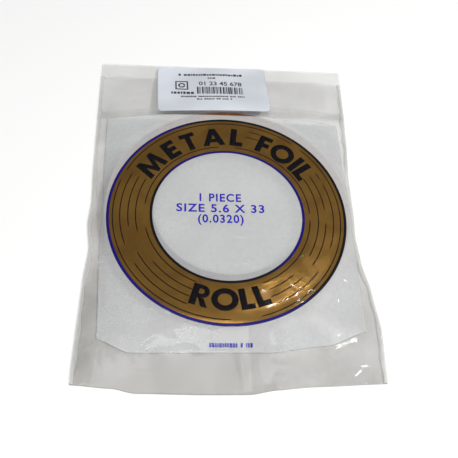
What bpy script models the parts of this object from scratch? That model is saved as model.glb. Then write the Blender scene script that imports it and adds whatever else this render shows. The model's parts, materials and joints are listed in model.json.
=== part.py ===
"""Copper foil tape roll in a printed inner bag and a clear outer bag, lying on its back.

Metres, +Z up. The origin is under the middle of the outer bag, on the surface it lies on.
+Y points to the folded top of the bag, +X to the right of someone who reads the print.
"""

import math

import bmesh
import bpy
from mathutils import Vector

# ---------------------------------------------------------------- driving sizes
GAP = 0.0003                # clearance that touching sheets and pieces keep
FILM = 0.0002               # wall of both bags
INK = 0.0001                # printed layer

# Roll
TAPE_WIDTH = 0.00556
CORE_RADIUS = 0.0381        # inside of the core
CORE_WALL = 0.0035
WINDING = 0.0214            # depth of the wound tape
TURNS = 6                   # each turn of the model stands for about 16 laps of tape
ROLL_OFFSET = 0.0010        # the roll lies this far to the right of the bags' middle

# Inner bag
INNER_SIDE_ROOM = 0.0035    # half the bag's width beyond the roll's radius
INNER_BOTTOM_ROOM = 0.01335  # roll to the bag's bottom edge
ROLL_STANDS_OUT = 0.00335   # roll above the bag's open mouth
INNER_SEAL = 0.0012         # width of a weld
INNER_RUN_ON = 0.0143       # how far past its mouth the film would reach down to the rim's level

# Print on the inner bag
PRINT_INSET = 0.0018        # roll's radius to the ring's; the ring's hole is as wide as the core's
PRINT_MARGIN = 0.0106       # bag's bottom edge to the ring
OUTLINE = 0.0009

# Outer bag
OUTER_SIDE_ROOM = 0.0050    # inner bag's edge to the outer bag's edge
OUTER_BOTTOM_ROOM = 0.0143  # inner bag's bottom edge to the bottom fold
OUTER_TOP_ROOM = 0.0389     # roll to the top fold
OUTER_SEAL = 0.0020         # width of a weld
FOLD_RADIUS = 0.0006        # outside radius of the top and bottom folds
MOUTH_DROP = 0.0100         # top fold to the front film's free edge
STRIP_WIDTH = 0.0045        # adhesive strip
STRIP_INSET = 0.0010        # flap's free edge to the adhesive strip

# Price label, on the flap
LABEL_WIDTH = 0.0635
LABEL_HEIGHT = 0.0381
LABEL_CORNER = 0.0030
LABEL_PAPER = 0.0002
LABEL_OFFSET = -0.0062      # the label's middle lies to the left of the bag's
LABEL_ABOVE_EDGE = 0.0034   # flap's free edge to the label
LABEL_BELOW_FOLD = 0.0015   # label to the top fold

# ---------------------------------------------------------------- mesh fineness
SPOKES = 128                # straight lines of a film, from the roll to the rim
ROUND_STEPS = 72
TURN_STEPS = 36
FOLD_STEPS = 5
PRINT_RINGS = 6
FLAP_COLUMNS, FLAP_ROWS = 32, 15
STRIP_COLUMNS, STRIP_ROWS = 60, 3
LABEL_COLUMNS, LABEL_ROWS = 20, 12
CORNER_CUTS = (22.5, 45, 67.5)  # tangents that round a corner of the label, in degrees
BOTTOM_FOLD_END = 150       # how far round the bottom fold goes, in degrees

# ---------------------------------------------------------------- sizes that follow
CORE_OUTSIDE = CORE_RADIUS + CORE_WALL
ROLL_RADIUS = CORE_OUTSIDE + WINDING
INNER_HALF = ROLL_RADIUS + INNER_SIDE_ROOM
INNER_HEIGHT = INNER_BOTTOM_ROOM + 2 * ROLL_RADIUS - ROLL_STANDS_OUT
OUTER_HALF = INNER_HALF + OUTER_SIDE_ROOM
BAG_HEIGHT = OUTER_BOTTOM_ROOM + INNER_BOTTOM_ROOM + 2 * ROLL_RADIUS + OUTER_TOP_ROOM
FLAP_LENGTH = LABEL_ABOVE_EDGE + LABEL_HEIGHT + LABEL_BELOW_FOLD
PRINT_OUTSIDE = ROLL_RADIUS - PRINT_INSET

# Places along Y
BAG_TOP = BAG_HEIGHT / 2
FOLD_Y = BAG_TOP - FOLD_RADIUS           # axis of the top fold; the bottom fold mirrors it
MOUTH_Y = BAG_TOP - MOUTH_DROP
FLAP_EDGE = BAG_TOP - FLAP_LENGTH
INNER_BOTTOM = OUTER_BOTTOM_ROOM - BAG_TOP
INNER_MOUTH = INNER_BOTTOM + INNER_HEIGHT
PRINT_Y = INNER_BOTTOM + PRINT_MARGIN + PRINT_OUTSIDE
ROLL_Y = INNER_BOTTOM + INNER_BOTTOM_ROOM + ROLL_RADIUS

# Heights, bottom to top
FOLD_INSIDE = FOLD_RADIUS - FILM
INNER_BACK_Z = FILM + GAP
ROLL_Z = INNER_BACK_Z + FILM + GAP
INNER_CROWN_Z = ROLL_Z + TAPE_WIDTH + GAP
PRINT_LIFT = FILM + GAP                  # inner film's underside to the ink's
OUTER_CROWN_Z = INNER_CROWN_Z + PRINT_LIFT + INK + GAP
STRIP_LIFT = FILM + GAP                  # outer film's underside to the adhesive strip's
FLAP_LIFT = STRIP_LIFT + FILM + GAP      # outer film's underside to the flap's
LABEL_LIFT = FLAP_LIFT + FILM + GAP


# ---------------------------------------------------------------- scene and helpers
def clear_scene():
    for item in list(bpy.data.objects):
        bpy.data.objects.remove(item, do_unlink=True)


def material(name, color, roughness, metallic=0.0, alpha=1.0):
    finish = bpy.data.materials.new(name)
    finish.use_nodes = True
    shader = finish.node_tree.nodes["Principled BSDF"]
    shader.inputs["Base Color"].default_value = (*color, 1)
    shader.inputs["Roughness"].default_value = roughness
    shader.inputs["Metallic"].default_value = metallic
    shader.inputs["Alpha"].default_value = alpha
    finish.diffuse_color = (*color, alpha)
    return finish


def finishes():
    return {
        "clear": material("outer_film", (0.80, 0.81, 0.80), 0.25, alpha=0.45),
        "milky": material("inner_film", (0.78, 0.80, 0.82), 0.35, alpha=0.7),
        "glue": material("adhesive", (0.86, 0.87, 0.86), 0.35, alpha=0.7),
        "label": material("label_paper", (0.83, 0.85, 0.90), 0.45),
        "copper_ink": material("copper_ink", (0.40, 0.27, 0.08), 0.4, metallic=0.8),
        "dark_ink": material("dark_ink", (0.02, 0.01, 0.20), 0.5),
        "card": material("core_card", (0.80, 0.78, 0.80), 0.6),
        "copper": material("copper_foil", (0.72, 0.42, 0.24), 0.35, metallic=1.0),
        "liner": material("liner_paper", (0.66, 0.50, 0.40), 0.8),
    }


class Assembly:
    """Collects the pieces, each a named object with its finish."""

    def __init__(self, name):
        self.finish = finishes()
        self.group = bpy.data.collections.new(name)
        bpy.context.scene.collection.children.link(self.group)

    def add(self, name, bm, finish):
        mesh = bpy.data.meshes.new(name)
        bm.to_mesh(mesh)
        bm.free()
        mesh.materials.append(self.finish[finish])
        mesh.shade_smooth()
        mesh.set_sharp_from_angle(angle=math.radians(35))
        piece = bpy.data.objects.new(name, mesh)
        self.group.objects.link(piece)
        return piece

    def sheet(self, name, bm, finish, thickness, offset=1.0):
        """An open surface thickened along its normals, or against them with offset -1."""
        piece = self.add(name, bm, finish)
        wall = piece.modifiers.new("Wall", "SOLIDIFY")
        wall.thickness = thickness
        wall.offset = offset
        return piece

    def slab(self, name, x_range, y_range, z, thickness, finish):
        """A flat rectangular sheet whose underside is at z."""
        size = (x_range[1] - x_range[0], y_range[1] - y_range[0], thickness)
        middle = (sum(x_range) / 2, sum(y_range) / 2, z + thickness / 2)
        bm = bmesh.new()
        bmesh.ops.create_cube(bm, size=1.0)
        bmesh.ops.scale(bm, vec=size, verts=bm.verts)
        bmesh.ops.translate(bm, vec=middle, verts=bm.verts)
        return self.add(name, bm, finish)


def trim(bm, point, normal):
    """Cut away everything on the side of the plane that the normal points to."""
    everything = bm.verts[:] + bm.edges[:] + bm.faces[:]
    bmesh.ops.bisect_plane(bm, geom=everything, plane_co=point, plane_no=normal, clear_outer=True)


# ---------------------------------------------------------------- the films' shape
class Tent:
    """Underside of a film that lies flat over the roll and runs straight from there to its rim."""

    def __init__(self, radius, crown_z, half_width, low_y, high_y, rim_z):
        self.radius = radius
        self.crown_z = crown_z
        self.half_width = half_width
        self.low_y = low_y
        self.high_y = high_y
        self.rim_z = rim_z

    def reach(self, dx, dy):
        """Distance from the roll's axis to the rim in the direction (dx, dy)."""
        side = self.half_width - ROLL_OFFSET if dx > 0 else self.half_width + ROLL_OFFSET
        end = self.high_y - ROLL_Y if dy > 0 else ROLL_Y - self.low_y
        return min(side / max(abs(dx), 1e-9), end / max(abs(dy), 1e-9))

    def height(self, x, y):
        distance = math.hypot(x - ROLL_OFFSET, y - ROLL_Y)
        if distance <= self.radius:
            return self.crown_z
        reach = self.reach((x - ROLL_OFFSET) / distance, (y - ROLL_Y) / distance)
        share = min(1.0, (distance - self.radius) / (reach - self.radius))
        return self.crown_z + (self.rim_z - self.crown_z) * share

    def angles(self):
        """Even directions round the roll, with the nearest ones moved onto the rim's corners."""
        corners = [math.atan2(y - ROLL_Y, x - ROLL_OFFSET) % math.tau
                   for x in (-self.half_width, self.half_width) for y in (self.low_y, self.high_y)]
        even = [math.tau * i / SPOKES for i in range(SPOKES)]
        kept = [a for a in even if all(abs(a - c) > math.pi / SPOKES for c in corners)]
        return sorted(kept + corners)

    def mesh(self):
        """A loft from a circle to the rectangular rim, closed over the circle."""
        bm = bmesh.new()
        middle = bm.verts.new((ROLL_OFFSET, ROLL_Y, self.crown_z))
        spokes = []
        for angle in self.angles():
            dx, dy = math.cos(angle), math.sin(angle)
            spoke = []
            for distance in (self.radius, self.reach(dx, dy)):
                x, y = ROLL_OFFSET + dx * distance, ROLL_Y + dy * distance
                spoke.append(bm.verts.new((x, y, self.height(x, y))))
            spokes.append(spoke)
        for here, there in zip(spokes, spokes[1:] + spokes[:1]):
            bm.faces.new((middle, here[0], there[0]))
            bm.faces.new((here[0], here[1], there[1], there[0]))
        return bm


INNER_TENT = Tent(ROLL_RADIUS + GAP, INNER_CROWN_Z, INNER_HALF - INNER_SEAL,
                  INNER_BOTTOM + INNER_SEAL, INNER_MOUTH + INNER_RUN_ON, INNER_BACK_Z + FILM + GAP)
OUTER_TENT = Tent(ROLL_RADIUS + 3 * GAP, OUTER_CROWN_Z, OUTER_HALF - OUTER_SEAL - GAP,
                  -FOLD_Y, FOLD_Y, FILM + GAP)


# ---------------------------------------------------------------- outer bag
def bottom_fold_mesh(half_width):
    """Inside of the bend that turns the back film up into the front film, along X."""
    first = GAP / FOLD_INSIDE
    last = math.radians(BOTTOM_FOLD_END)
    bm = bmesh.new()
    rows = []
    for step in range(FOLD_STEPS + 1):
        angle = first + (last - first) * step / FOLD_STEPS
        y, z = -FOLD_Y - FOLD_INSIDE * math.sin(angle), FOLD_RADIUS - FOLD_INSIDE * math.cos(angle)
        rows.append([bm.verts.new((x, y, z)) for x in (half_width, -half_width)])
    for below, above in zip(rows, rows[1:]):
        bm.faces.new((below[0], below[1], above[1], above[0]))
    return bm


def outer_bag(bag):
    rim = OUTER_HALF - OUTER_SEAL - GAP
    back_end = FOLD_Y - FOLD_RADIUS     # the top fold turns in this room as the flap opens
    bag.slab("outer_back_film", (-rim, rim), (-FOLD_Y, back_end), 0, FILM, "clear")
    welds = {"outer_seal_left": (-OUTER_HALF, OUTER_SEAL - OUTER_HALF),
             "outer_seal_right": (OUTER_HALF - OUTER_SEAL, OUTER_HALF)}
    for name, x_range in welds.items():
        bag.slab(name, x_range, (-FOLD_Y, MOUTH_Y), 0, 2 * FILM, "clear")
    front = OUTER_TENT.mesh()
    trim(front, (0, MOUTH_Y, 0), (0, 1, 0))
    bag.sheet("outer_front_film", front, "clear", FILM)
    bag.sheet("outer_bottom_fold", bottom_fold_mesh(rim), "clear", FILM, offset=-1.0)


# ---------------------------------------------------------------- flap, adhesive strip and label
def flap_height(x, y, lift):
    """Height of a sheet that lifts off the top fold and then follows the front film."""
    share = min(1.0, (FOLD_Y - y) / MOUTH_DROP)
    over_front = OUTER_TENT.height(x, y) + FLAP_LIFT
    return (FOLD_RADIUS + FOLD_INSIDE) * (1 - share) + over_front * share + lift - FLAP_LIFT


def sheet_on_front(x_range, y_range, columns, rows, corner=0.0):
    """A flat grid over a rectangle, with its corners rounded by tangent cuts."""
    bm = bmesh.new()
    bmesh.ops.create_grid(bm, x_segments=columns, y_segments=rows, size=0.5)
    size = (x_range[1] - x_range[0], y_range[1] - y_range[0], 1)
    bmesh.ops.scale(bm, vec=size, verts=bm.verts)
    bmesh.ops.translate(bm, vec=(sum(x_range) / 2, sum(y_range) / 2, 0), verts=bm.verts)
    if corner:
        for x, side in zip(x_range, (-1, 1)):
            for y, end in zip(y_range, (-1, 1)):
                centre = Vector((x - side * corner, y - end * corner, 0))
                for degrees in CORNER_CUTS:
                    turn = math.radians(degrees)
                    away = Vector((side * math.cos(turn), end * math.sin(turn), 0))
                    trim(bm, centre + corner * away, away)
    return bm


def flap_mesh():
    """Inside of the flap: round the top fold, then down over the front film to its free edge."""
    bm = bmesh.new()
    bmesh.ops.create_grid(bm, x_segments=FLAP_COLUMNS, y_segments=FOLD_STEPS + FLAP_ROWS, size=0.5)
    first = GAP / FOLD_INSIDE
    for vert in bm.verts:
        row = round((vert.co.y + 0.5) * (FOLD_STEPS + FLAP_ROWS))
        x = vert.co.x * 2 * OUTER_HALF
        if row <= FOLD_STEPS:
            angle = first + (math.pi - first) * row / FOLD_STEPS
            y, z = FOLD_Y + FOLD_INSIDE * math.sin(angle), FOLD_RADIUS - FOLD_INSIDE * math.cos(angle)
        else:
            y = FOLD_Y + (FLAP_EDGE - FOLD_Y) * (row - FOLD_STEPS) / FLAP_ROWS
            z = flap_height(x, y, FLAP_LIFT)
        vert.co = (x, y, z)
    return bm


def flap(bag):
    bag.sheet("outer_flap", flap_mesh(), "clear", FILM, offset=-1.0)

    strip_x = OUTER_HALF - OUTER_SEAL
    strip_y = (FLAP_EDGE + STRIP_INSET, FLAP_EDGE + STRIP_INSET + STRIP_WIDTH)
    strip = sheet_on_front((-strip_x, strip_x), strip_y, STRIP_COLUMNS, STRIP_ROWS)
    for vert in strip.verts:
        vert.co.z = flap_height(vert.co.x, vert.co.y, STRIP_LIFT)
    bag.sheet("flap_adhesive_strip", strip, "glue", FILM)

    label_x = (LABEL_OFFSET - LABEL_WIDTH / 2, LABEL_OFFSET + LABEL_WIDTH / 2)
    label_y = (FLAP_EDGE + LABEL_ABOVE_EDGE, FLAP_EDGE + LABEL_ABOVE_EDGE + LABEL_HEIGHT)
    label = sheet_on_front(label_x, label_y, LABEL_COLUMNS, LABEL_ROWS, LABEL_CORNER)
    for vert in label.verts:
        vert.co.z = flap_height(vert.co.x, vert.co.y, LABEL_LIFT)
    bag.sheet("price_label", label, "label", LABEL_PAPER)


# ---------------------------------------------------------------- inner bag and its print
def inner_bag(bag):
    rim = INNER_HALF - INNER_SEAL - GAP
    bottom_weld = (INNER_BOTTOM, INNER_BOTTOM + INNER_SEAL)
    bag.slab("inner_back_film", (-rim, rim), (bottom_weld[1] + GAP, INNER_MOUTH), INNER_BACK_Z, FILM, "milky")
    bag.slab("inner_seal_bottom", (-rim, rim), bottom_weld, INNER_BACK_Z, 2 * FILM, "milky")
    welds = {"inner_seal_left": (-INNER_HALF, INNER_SEAL - INNER_HALF),
             "inner_seal_right": (INNER_HALF - INNER_SEAL, INNER_HALF)}
    for name, x_range in welds.items():
        bag.slab(name, x_range, (INNER_BOTTOM, INNER_MOUTH), INNER_BACK_Z, 2 * FILM, "milky")
    front = INNER_TENT.mesh()
    trim(front, (0, INNER_MOUTH, 0), (0, 1, 0))
    bag.sheet("inner_front_film", front, "milky", FILM)


def printed_ring(bag, name, inside, outside, rings, finish):
    """A flat ring of ink that follows the inner bag's front film, finest towards its outside."""
    bm = bmesh.new()
    loops = []
    for ring in range(rings + 1):
        radius = outside - (outside - inside) * (1 - ring / rings) ** 2
        loop = []
        for step in range(ROUND_STEPS):
            angle = math.tau * step / ROUND_STEPS
            x, y = radius * math.cos(angle), PRINT_Y + radius * math.sin(angle)
            loop.append(bm.verts.new((x, y, INNER_TENT.height(x, y) + PRINT_LIFT)))
        loops.append(loop)
    for near, far in zip(loops, loops[1:]):
        for here, there in zip(range(ROUND_STEPS), [*range(1, ROUND_STEPS), 0]):
            bm.faces.new((near[here], far[here], far[there], near[there]))
    bag.sheet(name, bm, finish, INK)


def ring_on_bag(bag):
    band_inside = CORE_RADIUS + OUTLINE
    band_outside = PRINT_OUTSIDE - OUTLINE
    printed_ring(bag, "ring_print", band_inside + GAP, band_outside - GAP, PRINT_RINGS, "copper_ink")
    printed_ring(bag, "ring_outline_inner", CORE_RADIUS, band_inside, 1, "dark_ink")
    printed_ring(bag, "ring_outline_outer", band_outside, PRINT_OUTSIDE, 1, "dark_ink")


# ---------------------------------------------------------------- roll
def spiral_mesh(first_radius, pitch):
    """Middle surface of a ribbon as tall as the tape, wound outwards on a flat spiral."""
    bm = bmesh.new()
    foot = []
    for step in range(TURNS * TURN_STEPS + 1):
        angle = math.tau * step / TURN_STEPS
        radius = first_radius + pitch * step / TURN_STEPS
        foot.append(bm.verts.new((radius * math.cos(angle), radius * math.sin(angle), 0)))
    edges = [bm.edges.new(pair) for pair in zip(foot, foot[1:])]
    raised = bmesh.ops.extrude_edge_only(bm, edges=edges)["geom"]
    top = [item for item in raised if isinstance(item, bmesh.types.BMVert)]
    bmesh.ops.translate(bm, vec=(0, 0, TAPE_WIDTH), verts=top)
    bmesh.ops.recalc_face_normals(bm, faces=bm.faces)
    return bm


def core_profile():
    """Section of the core, down its outer side and up its inner side."""
    bm = bmesh.new()
    section = [(CORE_OUTSIDE, TAPE_WIDTH), (CORE_OUTSIDE, 0), (CORE_RADIUS, 0), (CORE_RADIUS, TAPE_WIDTH)]
    corners = [bm.verts.new((x, 0, z)) for x, z in section]
    for pair in zip(corners, corners[1:] + corners[:1]):
        bm.edges.new(pair)
    return bm


def roll(bag):
    axis = bpy.data.objects.new("roll_axis", None)
    axis.location = (ROLL_OFFSET, ROLL_Y, ROLL_Z)
    bag.group.objects.link(axis)

    core = bag.add("core", core_profile(), "card")
    turned = core.modifiers.new("Turned", "SCREW")
    turned.steps = turned.render_steps = ROUND_STEPS
    turned.use_merge_vertices = True
    turned.merge_threshold = 0.00001

    pitch = (WINDING - GAP) / (TURNS + 1)
    ribbon = pitch / 2 - GAP
    first = CORE_OUTSIDE + GAP + ribbon / 2
    liner = bag.sheet("liner_strip", spiral_mesh(first, pitch), "liner", ribbon, offset=0.0)
    foil = bag.sheet("foil_strip", spiral_mesh(first + pitch / 2, pitch), "copper", ribbon, offset=0.0)
    for piece in (core, liner, foil):
        piece.parent = axis


def main():
    clear_scene()
    bag = Assembly("copper_foil_tape_roll")
    outer_bag(bag)
    flap(bag)
    inner_bag(bag)
    ring_on_bag(bag)
    roll(bag)


main()
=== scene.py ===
# %% [markdown]
# # A roll of copper foil tape in its two bags
# A stained glass worker wraps the edge of each piece of glass with this tape. The roll is sold flat
# in a milky bag with a printed ring, and that bag sits in a clear bag whose flap folds over the top.
# Every sheet here is a height worked out above the point (x, y) it covers, so the sheets are stacked
# by adding small lifts to one another's heights. All lengths are in metres.

# %% Load the frame
import json
import math

import bmesh
import bpy
import numpy as np
from mathutils import Matrix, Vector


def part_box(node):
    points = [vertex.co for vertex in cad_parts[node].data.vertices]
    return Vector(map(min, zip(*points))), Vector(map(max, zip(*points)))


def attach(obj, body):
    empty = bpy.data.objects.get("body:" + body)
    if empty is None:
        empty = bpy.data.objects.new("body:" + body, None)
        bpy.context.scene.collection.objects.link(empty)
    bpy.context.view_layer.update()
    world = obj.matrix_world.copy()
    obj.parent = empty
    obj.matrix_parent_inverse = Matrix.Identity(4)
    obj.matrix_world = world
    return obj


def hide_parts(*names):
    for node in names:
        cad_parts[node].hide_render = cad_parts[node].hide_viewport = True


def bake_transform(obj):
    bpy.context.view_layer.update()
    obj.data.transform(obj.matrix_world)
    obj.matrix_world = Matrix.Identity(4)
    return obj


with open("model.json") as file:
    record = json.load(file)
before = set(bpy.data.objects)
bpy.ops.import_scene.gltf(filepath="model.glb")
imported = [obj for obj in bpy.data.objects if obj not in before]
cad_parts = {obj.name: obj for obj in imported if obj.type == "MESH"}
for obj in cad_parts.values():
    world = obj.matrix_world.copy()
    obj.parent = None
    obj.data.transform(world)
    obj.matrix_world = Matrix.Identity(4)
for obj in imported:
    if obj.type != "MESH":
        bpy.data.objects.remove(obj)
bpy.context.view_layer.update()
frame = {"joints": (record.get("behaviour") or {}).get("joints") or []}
MM = 0.001
bpy.context.scene.view_settings.view_transform = "Standard"
bpy.context.scene.cycles.transparent_max_bounces = 40

# %% [markdown]
# ## Measures
# The frame says where the roll, the print and the bags are. Only what the solids leave out, such as
# how far a bag's edge is pulled in by the roll, is added here.

# %% Places read from the frame
core_low, core_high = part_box("core")
wound_high, foil_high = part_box("liner_strip")[1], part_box("foil_strip")[1]
ROLL_X, ROLL_Y = [(a + b) / 2 for a, b in zip(core_low[:2], core_high[:2])]
CORE_OUT = (core_high.x - core_low.x) / 2
ROLL_R = max(foil_high.x, wound_high.x) - ROLL_X
ROLL_LOW, ROLL_TOP = core_low.z, core_high.z
ring_low, ring_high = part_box("ring_print")
PRINT_X, PRINT_Y = (ring_low.x + ring_high.x) / 2, (ring_low.y + ring_high.y) / 2
PRINT_OUT = (ring_high.x - ring_low.x) / 2
outline_low, outline_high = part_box("ring_outline_inner")
PRINT_IN = (outline_high.x - outline_low.x) / 2
inner_low, inner_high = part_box("inner_seal_left")[0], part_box("inner_seal_right")[1]
flap_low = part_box("outer_flap")[0]
label_low, label_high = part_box("price_label")
LABEL_X, LABEL_Y = [(a + b) / 2 for a, b in zip(label_low[:2], label_high[:2])]
LABEL_W, LABEL_H = label_high.x - label_low.x, label_high.y - label_low.y
MOUTH_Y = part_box("outer_front_film")[1].y
INNER_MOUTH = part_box("inner_front_film")[1].y
FOLD_Y = next(j for j in frame["joints"] if j["name"] == "flap_fold")["pos_m"][1]
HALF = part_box("outer_seal_right")[1].x
BOTTOM_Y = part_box("outer_bottom_fold")[0].y
print("roll radius", round(ROLL_R / MM, 2), "core", round(CORE_OUT / MM, 2),
      "print", round(PRINT_IN / MM, 2), "to", round(PRINT_OUT / MM, 2))


# %% [markdown]
# ## Helpers for shapes
# A sheet is a grid of rows and columns. The grid's corners, edges and faces come from whole numpy
# arrays, and one function turns them into a mesh.

# %% Grids into meshes
def placed(name, data):
    """A new object for a mesh, curve, lamp or camera, linked to the scene."""
    thing = bpy.data.objects.new(name, data)
    bpy.context.scene.collection.objects.link(thing)
    return thing


def thicken(thing, thick):
    """Gives a sheet a second face, thick metres behind the first, and a rim."""
    wall = thing.modifiers.new("thickness", "SOLIDIFY")
    wall.thickness, wall.offset, wall.use_even_offset = thick, -1.0, False


def piece_from(name, points, faces, uv=None, smooth=True):
    """A mesh object from an array of points and an array of corner numbers, one row for each face."""
    mesh = bpy.data.meshes.new(name)
    mesh.from_pydata(np.asarray(points, float).tolist(), [], np.asarray(faces).tolist())
    mesh.update()
    if uv is not None:
        layer = mesh.uv_layers.new(name="UVMap")
        corners = np.zeros(len(mesh.loops), int)
        mesh.loops.foreach_get("vertex_index", corners)
        layer.data.foreach_set("uv", np.asarray(uv, float)[corners].ravel())
    mesh.polygons.foreach_set("use_smooth", np.full(len(mesh.polygons), smooth))
    return placed(name, mesh)


def grid_faces(rows, columns, round_u=False, round_v=False):
    """Corner numbers of a grid's squares. A round direction joins its last line to its first."""
    r, c = np.meshgrid(np.arange(rows - (not round_v)), np.arange(columns - (not round_u)),
                       indexing="ij")
    r2, c2 = (r + 1) % rows, (c + 1) % columns
    return np.stack([r * columns + c, r * columns + c2, r2 * columns + c2, r2 * columns + c],
                    -1).reshape(-1, 4)


def sheet(name, x, y, z, thick=None, **how):
    """A grid of points, rows by columns, made into a mesh."""
    rows, columns = x.shape
    u, v = np.meshgrid(np.linspace(0, 1, columns), np.linspace(0, 1, rows))
    points = np.stack([x, y, z], -1).reshape(-1, 3)
    uv = np.stack([u, v], -1).reshape(-1, 2)
    thing = piece_from(name, points, grid_faces(rows, columns, **how), uv)
    if thick:
        thicken(thing, thick)
    return thing


def along(s, table):
    """A smooth curve through a table of (place, value): between two places it eases from value to value."""
    places, values = np.array(table, float).T
    i = np.clip(np.searchsorted(places, s) - 1, 0, len(places) - 2)
    t = np.clip((s - places[i]) / (places[i + 1] - places[i]), 0, 1)
    t = 0.5 * t + 0.5 * t * t * (3 - 2 * t)
    return values[i] * (1 - t) + values[i + 1] * t


def ease(t):
    """0 below 0, 1 above 1, and a smooth step between."""
    t = np.clip(t, 0, 1)
    return t * t * (3 - 2 * t)


def ripples(x, y, seed, wave, count=9):
    """Sum of a few sine waves of random direction and length near wave, from about -1 to 1."""
    pick = np.random.default_rng(seed)
    total = np.zeros_like(x)
    for turn, length, phase in zip(pick.uniform(0, math.pi, count), pick.uniform(0.6, 1.6, count),
                                   pick.uniform(0, 2 * math.pi, count)):
        k = 2 * math.pi / (wave * length)
        total += np.sin(k * (x * math.cos(turn) + y * math.sin(turn)) + phase)
    return total / math.sqrt(2 * count)


def crease(x, y, start, end, height, width):
    """A ridge along a line: highest at its middle, falling off on both sides like exp(-distance/width)."""
    (x0, y0), (x1, y1) = start, end
    dx, dy = x1 - x0, y1 - y0
    long = math.hypot(dx, dy)
    t = ((x - x0) * dx + (y - y0) * dy) / long**2
    off = ((x - x0) * dy - (y - y0) * dx) / long
    across = np.exp(-np.sqrt(off**2 + (0.25 * width)**2) / width)
    return height * across * ease(t / 0.35) * ease((1 - t) / 0.35)


def bowed_crease(x, y, centre, radius, start, end, height, width):
    """A ridge along a circle's arc from start to end degrees, with the same cross-section as a crease."""
    turn = np.degrees(np.arctan2(y - centre[1], x - centre[0])) % 360
    t = (turn - start) / (end - start)
    off = np.hypot(x - centre[0], y - centre[1]) - radius
    across = np.exp(-np.sqrt(off**2 + (0.25 * width)**2) / width)
    return height * across * ease(t / 0.25) * ease((1 - t) / 0.25)


# %% [markdown]
# ## The outlines of the two bags
# The roll takes up film, so the sides of a filled bag are drawn in beside it and the bottom bows out.
# Each outline is a small table of how far the edge has moved, in mm, by its place along the bag.

# %% Outlines
PULL_LEFT = [(0, 0), (0.03, -0.1), (0.26, 1.2), (0.35, 2.6), (0.43, 0.9), (0.50, 1.8), (0.61, 0.9), (1, 0.3)]
PULL_RIGHT = [(0, 0), (0.135, -1.2), (0.24, 0.9), (0.32, 3.9), (0.405, 4.9), (0.473, 4.1), (0.58, 3.9),
              (0.74, 1.9), (0.815, 1.3), (1, 0.4)]
BOW = [(-1, 0), (-0.74, 1.7), (-0.6, 3.9), (-0.15, 4.7), (0.11, 4.7), (0.29, 2.7), (0.5, 1.4), (1, 0)]
INNER_LEFT = [(0, 5.3), (0.08, 5.0), (0.4, 3.0), (1, 1.3)]
INNER_RIGHT = [(0, 1.6), (0.5, 1.2), (1, 1.6)]
INNER_BOTTOM = [(-1, 6.6), (-0.77, 0.2), (-0.7, 0), (0.25, 0.1), (0.7, 3.5), (1, 10.4)]


class Outline:
    """A bag's edges: left(y), right(y) and bottom(x), and its top as one number."""

    def __init__(self, low, high, half, left, right, bottom, bottom_sign):
        self.low, self.high, self.half = low, high, half
        self.tables = left, right, bottom
        self.sign = bottom_sign

    def share(self, y):
        return (y - self.low) / (self.high - self.low)

    def left(self, y):
        return -self.half + MM * along(self.share(y), self.tables[0])

    def right(self, y):
        return self.half - MM * along(self.share(y), self.tables[1])

    def bottom(self, x):
        return self.low + self.sign * MM * along(x / self.half, self.tables[2])

    def across(self, y, u):
        """The x at share u of the way from the left edge to the right edge."""
        return self.left(y) + (self.right(y) - self.left(y)) * u

    def points(self, rows, columns, top):
        """A grid of (x, y) that fills the outline up to top."""
        v, u = np.meshgrid(np.linspace(0, 1, rows), np.linspace(0, 1, columns), indexing="ij")
        low = self.bottom((2 * u - 1) * self.half)
        y = low + (top - low) * v
        return self.across(y, u), y

    def to_edge(self, x, y, top=None, soft=2 * MM):
        """Distance to the nearest edge, with the corner between two edges softened."""
        gaps = [x - self.left(y), self.right(y) - x, y - self.bottom(x)]
        if top is not None:
            gaps.append(top - y)
        nearest = -soft * np.log(sum(np.exp(-np.clip(g, -0.02, 1) / soft) for g in gaps))
        return np.maximum(nearest, 0)


OUTER = Outline(BOTTOM_Y, FOLD_Y, HALF, PULL_LEFT, PULL_RIGHT, BOW, -1)
INNER = Outline(inner_low.y, INNER_MOUTH, inner_high.x, INNER_LEFT, INNER_RIGHT, INNER_BOTTOM, 1)
print("outer outline", round(2 * HALF / MM, 1), "mm wide; inner", round(2 * INNER.half / MM, 1))

# %% [markdown]
# ## Heights of the films
# A film lies flat on the roll and runs down to its edges. At a point outside the roll its height is
# the share of the way from the edge to the roll, and a soft knee rounds the bend at the roll's rim.

# %% Height functions
FILM_WALL = 0.06 * MM
INNER_BACK_Z, INNER_HEM, INNER_CROWN = 0.55 * MM, 0.85 * MM, ROLL_TOP + 0.28 * MM
OUTER_BACK_Z, OUTER_HEM, OUTER_CROWN = 0.16 * MM, 0.45 * MM, ROLL_TOP + 0.75 * MM
FLAP_FLOOR = 1.15 * MM


def beyond_roll(x, y, near_edge):
    """Soft distance outside the roll's rim: about 0 on the roll, and rounder where the slope is long."""
    out = np.hypot(x - ROLL_X, y - ROLL_Y) - ROLL_R
    room = near_edge + np.maximum(out, 0)
    soft = np.clip(0.07 * room, 0.25 * MM, 1.4 * MM)
    return soft * np.logaddexp(0, (out - 1.5 * soft) / soft)


def hole_sag(x, y, depth):
    """Film over the roll's hole hangs: depth in the middle, none at the hole's edge."""
    r = np.hypot(x - ROLL_X, y - ROLL_Y) / PRINT_IN
    return depth * ease((1 - r) / 0.9)


def puff(x, y):
    """Air lifts the film a little in a ring over the wound tape, and it comes down again at the rim."""
    r = np.hypot(x - ROLL_X, y - ROLL_Y)
    return 0.34 * MM * ease((r - 38 * MM) / (9 * MM)) * ease((ROLL_R + 0.5 * MM - r) / (6 * MM))


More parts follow.
